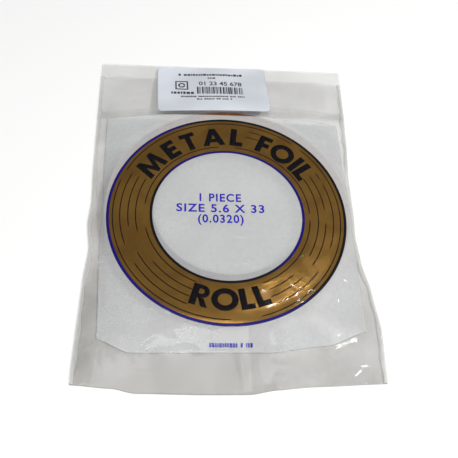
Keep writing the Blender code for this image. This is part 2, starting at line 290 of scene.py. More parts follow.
def inner_front(x, y):
    """Height of the milky bag's front: flat over the roll, straight down to the hem, rippled where free."""
    edge = INNER.to_edge(x, y)
    out = beyond_roll(x, y, edge)
    z = INNER_HEM + (INNER_CROWN - INNER_HEM) * edge / (edge + out + 1e-9)
    free = ease(edge / (5 * MM)) * ease(out / (5 * MM))
    z += 0.55 * MM * free * ripples(x, y, 5, 26 * MM)
    return z + puff(x, y) - hole_sag(x, y, 0.45 * MM) + 0.035 * MM * ripples(x, y, 8, 14 * MM)


def outer_front(x, y):
    """Height of the clear bag's front. It lies over the roll as the milky film does, steps down at the
    milky bag's left and bottom edges, and has the creases that handling leaves."""
    edge = OUTER.to_edge(x, y, FOLD_Y + 1 * MM)
    out = beyond_roll(x, y, edge)
    z = OUTER_HEM + (OUTER_CROWN - OUTER_HEM) * edge / (edge + out + 1e-9)
    free = ease(edge / (6 * MM)) * ease(out / (4 * MM))
    z += free * (0.34 * MM * ripples(x, y, 21, 36 * MM) + 0.10 * MM * ripples(x, y, 22, 12 * MM))
    over_side = np.exp(-np.abs(x - INNER.left(y) + 0.6 * MM) / (0.9 * MM))
    over_side = over_side * ease((INNER_MOUTH - y) / (8 * MM))
    over_end = np.exp(-np.abs(y - INNER.bottom(x) + 0.8 * MM) / (1.1 * MM))
    over_end = over_end * ease((INNER.half - np.abs(x)) / (9 * MM))
    z += ease(edge / (4 * MM)) * MM * (0.35 * over_side + 0.40 * over_end)
    for middle, radius, start, end, height, width in BOWED:
        z += bowed_crease(x, y, middle, radius, start, end, height, width)
    for start, end, height, width in CREASES:
        z += crease(x, y, start, end, height, width) * ease(edge / (3 * MM))
    return z + puff(x, y) - hole_sag(x, y, 0.3 * MM) + 0.04 * MM * ripples(x, y, 31, 13 * MM)


# Bent creases: centre, radius, start and end in degrees, height, width. Three follow the printed ring.
RIM = (PRINT_X, PRINT_Y)
BOWED = [((-31 * MM, -87 * MM), 12.5 * MM, 70, 186, 1.5 * MM, 2.0 * MM),
         (RIM, 59.5 * MM, 298, 331, 0.30 * MM, 1.2 * MM), (RIM, 57.6 * MM, 315, 352, 0.16 * MM, 1.2 * MM),
         (RIM, 56.0 * MM, 268, 294, 0.18 * MM, 1.6 * MM)]
# Straight creases, in mm: start x and y, end x and y, height, width.
CREASES = [((a * MM, b * MM), (c * MM, d * MM), h * MM, w * MM) for a, b, c, d, h, w in [
    (-58, -60, -66, -94, 0.8, 2.4), (-48, -72, -22, -78, 1.0, 1.6), (-44, -86, -10, -80, 0.7, 1.8),
    (46, -60, 69, -88, 0.6, 3.0), (24, -80, 62, -70, 0.5, 2.2), (60, -36, 66, -66, 0.5, 2.0),
    (10, -88, 52, -90, 0.4, 2.5), (-67, 8, -64, -48, 0.4, 1.4), (-66, 30, -52, 58, 0.5, 2.2),
    (62, 20, 66, 60, 0.5, 2.2), (40, 58, 64, 84, 0.5, 3.0), (-66, 90, -40, 66, 0.8, 2.6)]]


def flap_base(x, y):
    """The flap rests on the front, but leaves the top fold at the fold's own height."""
    near_fold = np.exp(-np.maximum(FOLD_Y - y, 0) / (5 * MM))
    rest = outer_front(x, y) + 0.28 * MM
    over = (rest - FLAP_FLOOR) / (0.2 * MM)
    return FLAP_FLOOR + 0.2 * MM * np.logaddexp(0, over) * (1 - 0.5 * near_fold) + 0.14 * MM


def flap_height(x, y):
    """The flap with its pleats, which run along the fold and stop where the stiff label holds it flat."""
    beside = np.abs(x - LABEL_X) - LABEL_W / 2
    free = ease((beside - 1 * MM) / (7 * MM)) * ease((FOLD_Y - y) / (6 * MM))
    # One corner of the fold, at the left, stands up a little.
    corner = np.exp(-((x + 64 * MM)**2 + (y - FOLD_Y + 9 * MM)**2) / (5 * MM)**2)
    pleats = 0.13 * ripples(0.15 * x, y, 40, 8 * MM) + 1.3 * corner
    return flap_base(x, y) + free * MM * pleats


on_tape = np.array(ROLL_X), np.array(ROLL_Y + 50 * MM)
print("films over the tape at", round(float(inner_front(*on_tape)) / MM, 2), "and",
      round(float(outer_front(*on_tape)) / MM, 2), "mm")

# %% [markdown]
# ## Helpers for finishes
# Shader maths reads as Python: Value wraps a socket and overloads the operators, and Finish makes any
# other node with one method.


# %% Shader helpers
class Value:
    """A number that a shader works out, wrapped so that + - * and ** add Math nodes."""

    def __init__(self, finish, socket):
        self.finish, self.socket = finish, socket

    def maths(self, operation, a, b):
        return self.finish.node("ShaderNodeMath", {"operation": operation}, {0: a, 1: b})

    def __add__(self, other): return self.maths("ADD", self, other)
    def __radd__(self, other): return self.maths("ADD", other, self)
    def __sub__(self, other): return self.maths("SUBTRACT", self, other)
    def __rsub__(self, other): return self.maths("SUBTRACT", other, self)
    def __mul__(self, other): return self.maths("MULTIPLY", self, other)
    def __rmul__(self, other): return self.maths("MULTIPLY", other, self)
    def __pow__(self, other): return self.maths("POWER", self, other)


class Finish:
    """A material on the Principled shader. Constants are set on the shader's own sockets."""

    def __init__(self, name, **constants):
        self.material = bpy.data.materials.new(name)
        self.material.use_nodes = True
        self.tree = self.material.node_tree
        self.shader = self.tree.nodes["Principled BSDF"]
        for socket, value in constants.items():
            self.shader.inputs[socket.replace("_", " ")].default_value = value

    def node(self, kind, settings=None, inputs=None, out=0):
        """Adds a node, sets it up, fills its sockets with values or links, and returns one output."""
        made = self.tree.nodes.new(kind)
        for key, value in (settings or {}).items():
            setattr(made, key, value)
        for key, value in (inputs or {}).items():
            if isinstance(value, Value):
                self.tree.links.new(value.socket, made.inputs[key])
            else:
                made.inputs[key].default_value = value
        return Value(self, made.outputs[out])

    def size_of(self, value):
        return self.node("ShaderNodeMath", {"operation": "ABSOLUTE"}, {0: value})

    def feed(self, **links):
        """Links worked-out values to the shader's sockets."""
        for socket, value in links.items():
            self.tree.links.new(value.socket, self.shader.inputs[socket.replace("_", " ")])
        return self

    def where(self, stretch=(1, 1, 1)):
        """Object coordinates, in metres: they sit still on the piece. Stretch scales them along each axis."""
        place = self.node("ShaderNodeTexCoord", out="Object")
        return self.node("ShaderNodeMapping", {}, {"Vector": place, "Scale": stretch})

    def noise(self, scale, place, detail=3.0, rough=0.5, distort=0.0):
        return self.node("ShaderNodeTexNoise", {}, {
            "Vector": place, "Scale": scale, "Detail": detail, "Roughness": rough, "Distortion": distort})

    def step(self, value, low, high):
        """Smooth step of a value from 0 at low to 1 at high."""
        return self.node("ShaderNodeMapRange", {"interpolation_type": "SMOOTHSTEP"}, {
            "Value": value, "From Min": low, "From Max": high})

    def tint(self, mask, a, b):
        """Colour a where mask is 0, colour b where it is 1."""
        mix = self.tree.nodes.new("ShaderNodeMix")
        mix.data_type = "RGBA"
        self.tree.links.new(mask.socket, mix.inputs[0])
        for i, colour in ((6, a), (7, b)):
            if isinstance(colour, Value):
                self.tree.links.new(colour.socket, mix.inputs[i])
            else:
                mix.inputs[i].default_value = (*colour, 1)
        return Value(self, mix.outputs[2])

    def bump(self, height, depth):
        """Normal that follows a height between 0 and 1, depth metres deep."""
        return self.node("ShaderNodeBump", {}, {"Height": height, "Distance": depth})


def finish_piece(thing, finish, slot_name, body, *nodes):
    """Gives a piece its finish, the body it rides on and the nodes it stands for. slot_name is not used."""
    thing.data.materials.clear()
    thing.data.materials.append(finish.material)
    if body:
        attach(thing, body)
    if nodes:
        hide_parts(*nodes)
    return thing


# %% [markdown]
# ## Film
# Both films are thin plastic. The clear one is glossy polypropylene; its back sheet is coloured warm grey
# and its front near black, which is painted shade for the light the films turn away, so the bag reads darker
# than the floor. The milky one is polyethylene, white and softer. Haze that varies over a few centimetres,
# fine scuffs and a very shallow ripple keep them from looking like flat glass.

# %% Film finishes
def film_finish(name, colour, warm, alpha, roughness, ripple, specular, ior, crinkle=0.0, fade=0.0):
    """Film with haze, scuffs and ripples. Crinkle adds sharp winding lines where one noise crosses its
    middle value and another is high; fade is how much the film clears from one bottom corner to the top."""
    f = Finish(name, IOR=ior, Specular_IOR_Level=specular)
    place = f.where()
    haze = f.noise(38, place, 4, 0.6, 0.6)
    scuff = f.noise(420, place, 3, 0.6)
    drawn = f.noise(60, f.where(stretch=(1, 0.22, 1)), 2, 0.45, 0.8)
    if fade:
        up = f.node("ShaderNodeVectorMath", {"operation": "DOT_PRODUCT"},
                    {0: f.node("ShaderNodeTexCoord", out="Object"), 1: (0.7, 1, 0)}, out="Value")
        alpha = alpha * (1 - fade * f.step(up, BOTTOM_Y - 0.5 * HALF, FOLD_Y))
    relief = drawn * 0.7 + scuff * 0.02 + haze * 0.25
    if crinkle:
        winding = f.noise(34, place, 1, 0.4, 0.9)
        line = (1 - f.size_of(2 * winding - 1))**26
        relief = relief + crinkle * line * f.step(f.noise(21, place, 1), 0.48, 0.68)
    f.feed(Base_Color=f.tint(f.step(haze, 0.3, 0.7), colour, warm),
           Alpha=alpha * (1 + 1.1 * (haze - 0.5) + 0.3 * (scuff - 0.5)),
           Roughness=roughness + 0.05 * (scuff - 0.5) + 0.10 * (haze - 0.5),
           Normal=f.bump(relief, ripple))
    return f


# The near-black front and the warm grey back of the clear bag are painted shade: the darkening the films give
# what lies under them.
clear_film = film_finish("outer_film", (0.014, 0.014, 0.013), (0.010, 0.009, 0.007), alpha=0.055,
                         roughness=0.08, ripple=0.6 * MM, specular=1.0, ior=1.8, crinkle=0.6)
back_film = film_finish("outer_back_film", (0.20, 0.18, 0.14), (0.16, 0.14, 0.10), alpha=0.18,
                        roughness=0.12, ripple=0.6 * MM, specular=0.6, ior=1.5, fade=0.7)
flap_film = film_finish("flap_film", (0.70, 0.71, 0.71), (0.62, 0.62, 0.58), alpha=0.068,
                        roughness=0.09, ripple=0.5 * MM, specular=1.0, ior=1.8, crinkle=0.5)
milky_film = film_finish("inner_film", (0.92, 0.935, 0.945), (0.88, 0.89, 0.89), alpha=0.26,
                         roughness=0.30, ripple=0.4 * MM, specular=0.4, ior=1.5, fade=-0.65)
weld_film = film_finish("weld", (0.88, 0.88, 0.87), (0.80, 0.80, 0.77), alpha=0.42,
                        roughness=0.20, ripple=0.4 * MM, specular=0.8, ior=1.5)
glue_film = film_finish("adhesive", (0.55, 0.56, 0.55), (0.5, 0.5, 0.48), alpha=0.10,
                        roughness=0.35, ripple=0.3 * MM, specular=0.5, ior=1.5)
print("film finishes ready")

# %% [markdown]
# ## Clear bag
# One sheet runs up the back, folds at the bottom and comes up the front as far as the mouth. It is
# made as a back, a bottom fold, a front and two welds.

# %% Clear bag
x, y = OUTER.points(120, 90, FOLD_Y)
back = sheet("clear_bag_back", x, y, OUTER_BACK_Z + 0.05 * MM * ripples(x, y, 2, 30 * MM), FILM_WALL)
finish_piece(back, back_film, "outer_film", "bag", "outer_back_film")

x, y = OUTER.points(230, 190, MOUTH_Y)
y = y + ease((y - MOUTH_Y + 12 * MM) / (12 * MM)) * (0.5 * MM * np.sin(x / (21 * MM)) - 1.0 * MM)
front = sheet("clear_bag_front", x, y, outer_front(x, y), FILM_WALL)
finish_piece(front, clear_film, "outer_film", "bag", "outer_front_film")

a, u = np.meshgrid(np.linspace(-math.pi / 2, math.pi / 2, 9), np.linspace(0, 1, 160), indexing="ij")
edge_x = -HALF + 2 * HALF * u
edge_y = OUTER.bottom(edge_x)
edge_x = OUTER.across(edge_y, u)
low_z, high_z = OUTER_BACK_Z, OUTER_HEM + 0.04 * MM * ripples(edge_x, edge_y, 31, 13 * MM)
radius = (high_z - low_z) / 2
bend = sheet("clear_bag_bottom_fold", edge_x, edge_y - radius * np.cos(a), low_z + radius * (1 + np.sin(a)),
             FILM_WALL)
finish_piece(bend, back_film, "outer_film", "bag", "outer_bottom_fold")


def side_weld(name, side, width, outline, top, z, finish, slot_name, *nodes):
    """A hot-cut weld: a narrow band along one side whose inner edge wanders, with a beaded outer edge."""
    v, u = np.meshgrid(np.linspace(0, 1, 300), np.linspace(0, 1, 9), indexing="ij")
    y = outline.bottom(np.full_like(v, side * outline.half)) + 0.3 * MM
    y = y + (top - y) * v
    edge = outline.right(y) if side > 0 else outline.left(y)
    wander = 1 + 0.18 * np.sin(y / (7 * MM)) + 0.12 * np.sin(y / (2.3 * MM) + 1)
    x = edge - side * u * width * wander
    bead = 0.10 * MM * np.exp(-(u / 0.15)**2) + 0.05 * MM * np.sin(y / (1.1 * MM)) * (1 - u)
    if side > 0:
        x, y, bead = x[:, ::-1], y[:, ::-1], bead[:, ::-1]
    band = sheet(name, x, y, z + bead, 0.12 * MM)
    return finish_piece(band, finish, slot_name, "bag", *nodes)


SIDES = (-1, "left"), (1, "right")
for side, word in SIDES:
    side_weld("clear_bag_weld_" + word, side, 2.0 * MM, OUTER, MOUTH_Y, 0.62 * MM, weld_film, "outer_film",
              "outer_seal_" + word)
print("clear bag:", len(front.data.polygons), "faces on the front")

# %% [markdown]
# ## Milky bag
# The inner bag is a smaller sleeve of white film, welded on three sides and open at the top, where
# the roll stands out of it by a few millimetres.

# %% Milky bag
x, y = INNER.points(120, 100, INNER_MOUTH)
inner_back = sheet("milky_bag_back", x, y, INNER_BACK_Z + 0.05 * MM * ripples(x, y, 4, 24 * MM), FILM_WALL)
finish_piece(inner_back, milky_film, "inner_film", "bag", "inner_back_film")

x, y = INNER.points(230, 220, INNER_MOUTH)
inner = sheet("milky_bag_front", x, y, inner_front(x, y), FILM_WALL)
finish_piece(inner, milky_film, "inner_film", "bag", "inner_front_film")

for side, word in SIDES:
    side_weld("milky_bag_weld_" + word, side, 1.2 * MM, INNER, INNER_MOUTH, 0.80 * MM, milky_film,
              "inner_film", "inner_seal_" + word)
v, u = np.meshgrid(np.linspace(0, 1, 7), np.linspace(0.012, 0.988, 260), indexing="ij")
x = -INNER.half + 2 * INNER.half * u
y = INNER.bottom(x)
x = INNER.across(y, u)
band = sheet("milky_bag_weld_bottom", x, y + 1.6 * MM * v,
             0.82 * MM + 0.05 * MM * np.sin(x / (0.5 * MM)) * np.sin(math.pi * v), 0.10 * MM)
finish_piece(band, milky_film, "inner_film", "bag", "inner_seal_bottom")
print("milky bag made")

# %% [markdown]
# ## The roll
# Copper foil and its paper liner are wound together, lap on lap, round a white card core, which is coloured
# dark purple-grey as painted shade. Each strip is a long thin spiral; the liner is a little narrower than
# the foil, so the copper edges stand out.

# %% Roll
LAPS, PER_LAP = 94, 100


def spiral_strip(name, start, thick, low, high):
    """A strip on a spiral: its radius grows by one pitch a lap, and its section is a thin rectangle."""
    pitch = (ROLL_R - CORE_OUT - 0.4 * MM) / LAPS
    t = np.linspace(0, LAPS - 0.5, LAPS * PER_LAP)[:, None]
    inside = CORE_OUT + 0.1 * MM + start * pitch + pitch * t
    radius = np.concatenate([inside, inside + thick, inside + thick, inside], 1)
    z = np.tile([low, low, high, high], (len(t), 1))
    z[:, 2:] += 0.04 * MM * np.sin(t * 5.3) + 0.03 * MM * np.sin(t * 17.1)
    turn = 2 * math.pi * t
    strip = sheet(name, ROLL_X + radius * np.cos(turn), ROLL_Y + radius * np.sin(turn), z, round_u=True)
    mesh = bmesh.new()
    mesh.from_mesh(strip.data)
    bmesh.ops.holes_fill(mesh, edges=mesh.edges, sides=4)
    bmesh.ops.recalc_face_normals(mesh, faces=mesh.faces)
    mesh.to_mesh(strip.data)
    mesh.free()
    strip.data.polygons.foreach_set("use_smooth", np.zeros(len(strip.data.polygons), bool))
    return strip


copper = Finish("copper_foil", Metallic=1.0)
place = copper.where()
dull = copper.noise(90, place, 3, 0.6)
copper.feed(Base_Color=copper.tint(copper.step(dull, 0.35, 0.7), (0.80, 0.42, 0.24), (0.50, 0.24, 0.13)),
            Roughness=0.28 + 0.2 * dull, Normal=copper.bump(copper.noise(2500, place, 2), 0.05 * MM))
liner = Finish("liner_paper", Roughness=0.8)
place = liner.where()
fibre = liner.noise(1500, place, 3, 0.6)
liner.feed(Base_Color=liner.tint(fibre, (0.50, 0.36, 0.27), (0.66, 0.52, 0.42)),
           Normal=liner.bump(fibre, 0.06 * MM))
# The card is white, but it is coloured dark purple-grey: painted shade, for the core seen shaded through the
# milky film. The layer marks are its own.
card = Finish("core_card", Roughness=0.62)
place = card.where(stretch=(1, 1, 6))
layer_mark, speck = card.noise(220, place, 3, 0.6), card.noise(1300, place, 2)
card.feed(Base_Color=card.tint(card.step(layer_mark, 0.35, 0.65), (0.11, 0.10, 0.13), (0.08, 0.07, 0.095)),
          Normal=card.bump(layer_mark * 0.6 + speck * 0.3, 0.12 * MM))

foil = spiral_strip("copper_foil_strip", 0.0, 0.07 * MM, ROLL_LOW + 0.02 * MM, ROLL_TOP - 0.06 * MM)
finish_piece(foil, copper, "copper_foil", "roll", "foil_strip")
paper = spiral_strip("liner_strip_wound", 0.45, 0.10 * MM, ROLL_LOW + 0.15 * MM, ROLL_TOP - 0.22 * MM)
finish_piece(paper, liner, "liner_paper", "roll", "liner_strip")

# Profile of the core: a card tube with softly rounded rims, turned round the roll's axis.
inside, r = PRINT_IN, 0.35 * MM
corners = [(inside + r, ROLL_LOW + r, 180, 270), (CORE_OUT - r, ROLL_LOW + r, 270, 360),
           (CORE_OUT - r, ROLL_TOP - 0.05 * MM - r, 0, 90), (inside + r, ROLL_TOP - 0.05 * MM - r, 90, 180)]
profile = np.array([(cr + r * math.cos(math.radians(d)), cz + r * math.sin(math.radians(d)))
                    for cr, cz, d0, d1 in corners for d in np.linspace(d0, d1, 6)])
turn, i = np.meshgrid(np.linspace(0, 2 * math.pi, 240, endpoint=False), np.arange(len(profile)),
                      indexing="ij")
core = sheet("card_core", ROLL_X + profile[i, 0] * np.cos(turn), ROLL_Y + profile[i, 0] * np.sin(turn),
             profile[i, 1], round_u=True, round_v=True)
core.data.flip_normals()
finish_piece(core, card, "core_card", "roll", "core")
print("roll:", LAPS, "laps,", len(foil.data.polygons), "faces in the foil")

# %% [markdown]
# ## Print
# Flat artwork is drawn in x and y, cut into small cells so that it can bend, and then laid on the film
# by giving each corner the film's height plus a hair. The ring is metallic bronze ink with a black and
# navy outline, thin arcs for the wound tape, and lettering. The words are plain ones.


# %% Drawing flat artwork
def cut_cells(mesh, cell):
    """Cuts a flat bmesh along lines every cell metres, both ways, so that it can follow a bent surface."""
    points = np.array([v.co for v in mesh.verts])
    for axis in (0, 1):
        normal = [0, 0, 0]
        normal[axis] = 1
        for place in np.arange(points[:, axis].min() + cell, points[:, axis].max(), cell):
            at = [0, 0, 0]
            at[axis] = place
            geometry = mesh.verts[:] + mesh.edges[:] + mesh.faces[:]
            bmesh.ops.bisect_plane(mesh, geom=geometry, plane_co=at, plane_no=normal, dist=1e-7)


def built_in_words(text, bold=0.0, spacing=1.0):
    """Words in Blender's own font as a flat mesh, 1 unit high: points (x, y) and faces."""
    curve = bpy.data.curves.new("words", "FONT")
    curve.body, curve.fill_mode, curve.resolution_u = text, "FRONT", 4
    curve.offset, curve.space_character = bold, spacing
    thing = placed("words", curve)
    bpy.context.view_layer.update()
    made = bpy.data.meshes.new_from_object(thing.evaluated_get(bpy.context.evaluated_depsgraph_get()))
    bpy.data.objects.remove(thing)
    points = np.array([v.co for v in made.vertices])[:, :2]
    faces = [list(p.vertices) for p in made.polygons]
    bpy.data.meshes.remove(made)
    return points, faces


CAPITAL = float(np.ptp(built_in_words("H")[0][:, 1]))


class Artwork:
    """Flat shapes gathered into one mesh."""

    def __init__(self):
        self.points, self.faces = [], []

    def add(self, points, faces):
        first = len(self.points)
        self.points += [tuple(map(float, p)) for p in points]
        self.faces += [[first + i for i in f] for f in faces]
        return self

    def words(self, text, height, centre, bold, spacing, width):
        """Words with capitals of a height, centred on a point and stretched to a width."""
        points, faces = built_in_words(text, bold, spacing)
        points = points * height / CAPITAL
        points = points - (points.min(0) + points.max(0)) / 2
        points[:, 0] *= width / np.ptp(points[:, 0])
        return self.add(points + centre, faces)

    def block(self, x0, x1, y0, y1):
        return self.add([(x0, y0), (x1, y0), (x1, y1), (x0, y1)], [[0, 1, 2, 3]])

    def arc(self, centre, radius, width, start, end, step):
        """A band along a circle from start to end, in degrees counter-clockwise."""
        count = max(3, int(abs(end - start) / step) + 2)
        a = np.radians(np.linspace(start, end, count))
        rim = np.stack([np.cos(a), np.sin(a)], 1)
        taper = np.minimum(1, np.minimum(np.arange(count), np.arange(count)[::-1]) / 1.5 + 0.3)[:, None]
        points = np.concatenate([rim * (radius - width / 2 * taper), rim * (radius + width / 2 * taper)])
        faces = [[i, i + count, i + count + 1, i + 1] for i in range(count - 1)]
        return self.add(points + centre, faces)

    def lay(self, name, height, thick, cell=None, place=lambda p: p):
        """Cuts the artwork into cells, moves it with place and lays it on the surface height(x, y)."""
        mesh = bmesh.new()
        corners = [mesh.verts.new((*p, 0)) for p in self.points]
        for f in self.faces:
            mesh.faces.new([corners[i] for i in f])
        bmesh.ops.remove_doubles(mesh, verts=mesh.verts, dist=1e-6)
        bmesh.ops.recalc_face_normals(mesh, faces=mesh.faces)
        if cell:
            cut_cells(mesh, cell)
        for f in mesh.faces:
            if f.normal.z < 0:
                f.normal_flip()
        made = bpy.data.meshes.new(name)
        mesh.to_mesh(made)
        mesh.free()
        flat = np.zeros(len(made.vertices) * 3)
        made.vertices.foreach_get("co", flat)
        flat = place(flat.reshape(-1, 3)[:, :2])
        z = height(flat[:, 0], flat[:, 1])
        made.vertices.foreach_set("co", np.column_stack([flat, z]).ravel())
        made.polygons.foreach_set("use_smooth", np.ones(len(made.polygons), bool))
        made.update()
        thing = placed(name, made)
        thicken(thing, thick)
        return thing


def on_film(lift):
    """The surface that lies lift above the milky film."""
    return lambda x, y: inner_front(x, y) + lift


RING_LIFT, WORD_LIFT, OUTLINE_LIFT, LETTER_LIFT = 0.04 * MM, 0.05 * MM, 0.07 * MM, 0.08 * MM
INK_WALL = 0.02 * MM
print("capital H is", round(CAPITAL, 3), "units high")


# %% [markdown]
# ### Inks
# Metallic bronze ink is made of tiny flakes, so its shine is broad and slightly streaked. The navy ink
# was printed a little out of register, so one side of each outline looks navy and the other black.

# %% Inks
bronze = Finish("copper_ink", Metallic=0.6, IOR=1.5)
place = bronze.where()
flake, cloud = bronze.noise(1800, place, 2), bronze.noise(55, place, 3, 0.55, 0.5)
bronze.feed(Base_Color=bronze.tint(bronze.step(cloud, 0.3, 0.7), (0.225, 0.112, 0.016), (0.31, 0.165, 0.028)),
            Roughness=0.20 + 0.05 * flake, Normal=bronze.bump(flake * 0.012 + cloud, 0.30 * MM))
black = Finish("dark_ink", Specular_IOR_Level=0.06)
grain = black.noise(900, black.where(), 2)
black.feed(Base_Color=black.tint(grain, (0.0020, 0.0018, 0.0034), (0.0045, 0.0038, 0.0065)),
           Roughness=0.42 + 0.15 * grain)


def two_inks(name, navy_centre):
    """Ink that is navy round one side of the ring and black round the other, by the angle in object space."""
    f = Finish(name, Roughness=0.45, Specular_IOR_Level=0.15)
    place = f.node("ShaderNodeVectorMath", {"operation": "NORMALIZE"}, {
        0: f.node("ShaderNodeVectorMath", {"operation": "SUBTRACT"},
                  {0: f.node("ShaderNodeTexCoord", out="Object"), 1: (PRINT_X, PRINT_Y, 0)})})
    a = math.radians(navy_centre)
    side = f.node("ShaderNodeVectorMath", {"operation": "DOT_PRODUCT"},
                  {0: place, 1: (math.cos(a), math.sin(a), 0)}, out="Value")
    f.feed(Base_Color=f.tint(f.step(side, -0.35, 0.15), (0.0022, 0.0016, 0.005), (0.006, 0.0015, 0.17)))
    return f


blue = Finish("blue_ink", Roughness=0.45, Specular_IOR_Level=0.2)
grain = blue.noise(900, blue.where(), 2)
blue.feed(Base_Color=blue.tint(grain, (0.018, 0.012, 0.46), (0.035, 0.022, 0.58)))
print("inks ready")

# %% [markdown]
# ### The ring and its outlines
# Rings could be cut from flat artwork, but rings and spokes follow the film's bend round the roll with
# fewer faces. The outlines lie a hair above the ring, so the inks never share a surface.

# %% The ring and its outlines
centre = np.array([PRINT_X, PRINT_Y])


def ring(name, inside, outside, lift, steps, finish, slot_name, *nodes):
    """A flat ring of ink on the film: an annulus in rings and spokes, with the film's height plus lift."""
    turn, share = np.meshgrid(np.linspace(0, 2 * math.pi, 400, endpoint=False), np.linspace(0, 1, steps),
                              indexing="ij")
    radius = outside + (inside - outside) * share
    x, y = PRINT_X + radius * np.cos(turn), PRINT_Y + radius * np.sin(turn)
    made = sheet(name, x, y, inner_front(x, y) + lift, INK_WALL, round_v=True)
    made.data.flip_normals()
    return finish_piece(made, finish, slot_name, "bag", *nodes)


ring("bronze_ring", PRINT_IN, PRINT_OUT, RING_LIFT, 36, bronze, "copper_ink", "ring_print")
ring("outline_outside", PRINT_OUT - 0.45 * MM, PRINT_OUT + 0.95 * MM, OUTLINE_LIFT, 5,
     two_inks("outline_outside_ink", 210), "dark_ink", "ring_outline_outer")
ring("outline_inside", PRINT_IN - 0.90 * MM, PRINT_IN + 0.45 * MM, OUTLINE_LIFT, 5,
     two_inks("outline_inside_ink", 45), "dark_ink", "ring_outline_inner")
print("ring of", round(2 * PRINT_IN / MM, 1), "to", round(2 * PRINT_OUT / MM, 1), "mm laid on the film")

# %% [markdown]
# ### Arcs and words on the ring
# Five rows of broken arcs suggest the wound tape. The letters of the upper words stand on a circle and
# lean with it, and the lower word reads upright along the bottom.

# %% Arcs and ring words
ARCS = {57.8: [(161, 270), (51, 154.5), (-76, 46)],
        54.2: [(212.5, 248), (154.5, 201), (69, 76), (23.75, 28.75), (-21, 20.5), (-66, -37)],
        50.2: [(207.5, 248), (154.5, 190.5), (69, 77.5), (3, 28.75), (-35.75, -5.75), (-67.5, -46)],
        46.4: [(217, 248), (154.5, 195), (-32, 28.75), (-67.5, -48)],
        42.1: [(193, 248), (95, 174.5), (0.5, 83.75), (-68.75, -4.5)]}
arcs = Artwork()
for radius, spans in ARCS.items():
    for start, end in spans:
        arcs.arc(centre, radius * MM, 0.5 * MM, start, end, 1.5)
lines = arcs.lay("ring_arcs", on_film(OUTLINE_LIFT), 0.015 * MM)
finish_piece(lines, black, "dark_ink", "bag")

STEM, BAR = 0.275, 0.24
LOW, HIGH = 0.5 - BAR / 2, 0.5 + BAR / 2


def bow(centre, radii, inner, start, end, count=28):
    """Quads of a bent stroke between an outer and an inner ellipse, from one angle to another."""
    a = np.radians(np.linspace(start, end, count))
    rim = np.stack([np.cos(a), np.sin(a)], 1)
    outer_edge, inner_edge = centre + rim * radii, centre + rim * inner
    return [[outer_edge[i], outer_edge[i + 1], inner_edge[i + 1], inner_edge[i]] for i in range(count - 1)]


def mirrored(points, width):
    """The same stroke on the other side of a letter of this width."""
    return [(width - px, py) for px, py in points]


A_SIDE = [(0, 0), (0.27, 0), (0.335, 0.19), (0.41, 0.40), (0.50, 0.66), (0.50, 1), (0.37, 1)]
LETTERS = {
    "I": [[(0, 0), (STEM, 0), (STEM, 1), (0, 1)]],
    "L": [[(0, 0), (0.58, 0), (0.58, BAR), (STEM, BAR), (STEM, 1), (0, 1)]],
    "T": [[(0.225, 0), (0.475, 0), (0.475, 1 - BAR), (0.70, 1 - BAR), (0.70, 1), (0, 1), (0, 1 - BAR),
           (0.225, 1 - BAR)]],
    "E": [[(0, 0), (0.62, 0), (0.62, BAR), (STEM, BAR), (STEM, LOW), (0.57, LOW), (0.57, HIGH), (STEM, HIGH),
           (STEM, 1 - BAR), (0.62, 1 - BAR), (0.62, 1), (0, 1)]],
    "F": [[(0, 0), (STEM, 0), (STEM, LOW - 0.04), (0.55, LOW - 0.04), (0.55, HIGH - 0.04),
           (STEM, HIGH - 0.04), (STEM, 1 - BAR), (0.60, 1 - BAR), (0.60, 1), (0, 1)]],
    "M": [[(0, 0), (0.25, 0), (0.32, 0.56), (0.53, 0), (0.67, 0), (0.88, 0.56), (0.95, 0), (1.2, 0),
           (1.07, 1), (0.84, 1), (0.60, 0.40), (0.36, 1), (0.13, 1)]],
    "A": [A_SIDE, mirrored(A_SIDE, 1), [(0.335, 0.19), (0.665, 0.19), (0.59, 0.40), (0.41, 0.40)]],
    "O": bow((0.55, 0.5), (0.55, 0.53), (0.29, 0.28), 0, 360, 49),
    "R": [[(0, 0), (STEM, 0), (STEM, 1), (0, 1)], [(STEM, 0.81), (0.38, 0.81), (0.38, 1), (STEM, 1)],
          [(STEM, 0.38), (0.38, 0.38), (0.38, 0.57), (STEM, 0.57)],
          [(0.30, 0.38), (0.54, 0.38), (0.78, 0), (0.50, 0)]]
         + bow((0.38, 0.69), (0.33, 0.31), (0.12, 0.12), -90, 90)}


def bold_letter(letter, height):
    """Points and faces of one bold letter, with its own corners for each stroke."""
    strokes = LETTERS[letter]
    points = np.array([p for stroke in strokes for p in stroke], float) * height
    ends = np.cumsum([0] + [len(stroke) for stroke in strokes])
    points[:, 0] *= 1.08
    return points, [list(range(a, b)) for a, b in zip(ends[:-1], ends[1:])]


ring_words = Artwork()


def word_on_circle(text, start, end, base, height, upright_below=False):
    """Letters of one word stand on a circle from angle start to angle end, with even gaps between them."""
    letters = [bold_letter(c, height) for c in text]
    widths = [np.ptp(p[:, 0]) for p, _ in letters]
    middle = base - height / 2 if upright_below else base + height / 2
    length = abs(math.radians(end - start)) * middle
    gap = (length - sum(widths)) / (len(text) - 1)
    way = 1 if upright_below else -1
    here = 0.0
    for (points, faces), width in zip(letters, widths):
        angle = math.radians(start) + way * (here + width / 2) / middle
        here += width + gap
        flat = points - [points[:, 0].min() + width / 2, 0]
        out = np.array([math.cos(angle), math.sin(angle)])
        across = np.array([-out[1], out[0]]) * way
        up = -out if upright_below else out
        ring_words.add(centre + out * base + flat[:, :1] * across + flat[:, 1:] * up, faces)


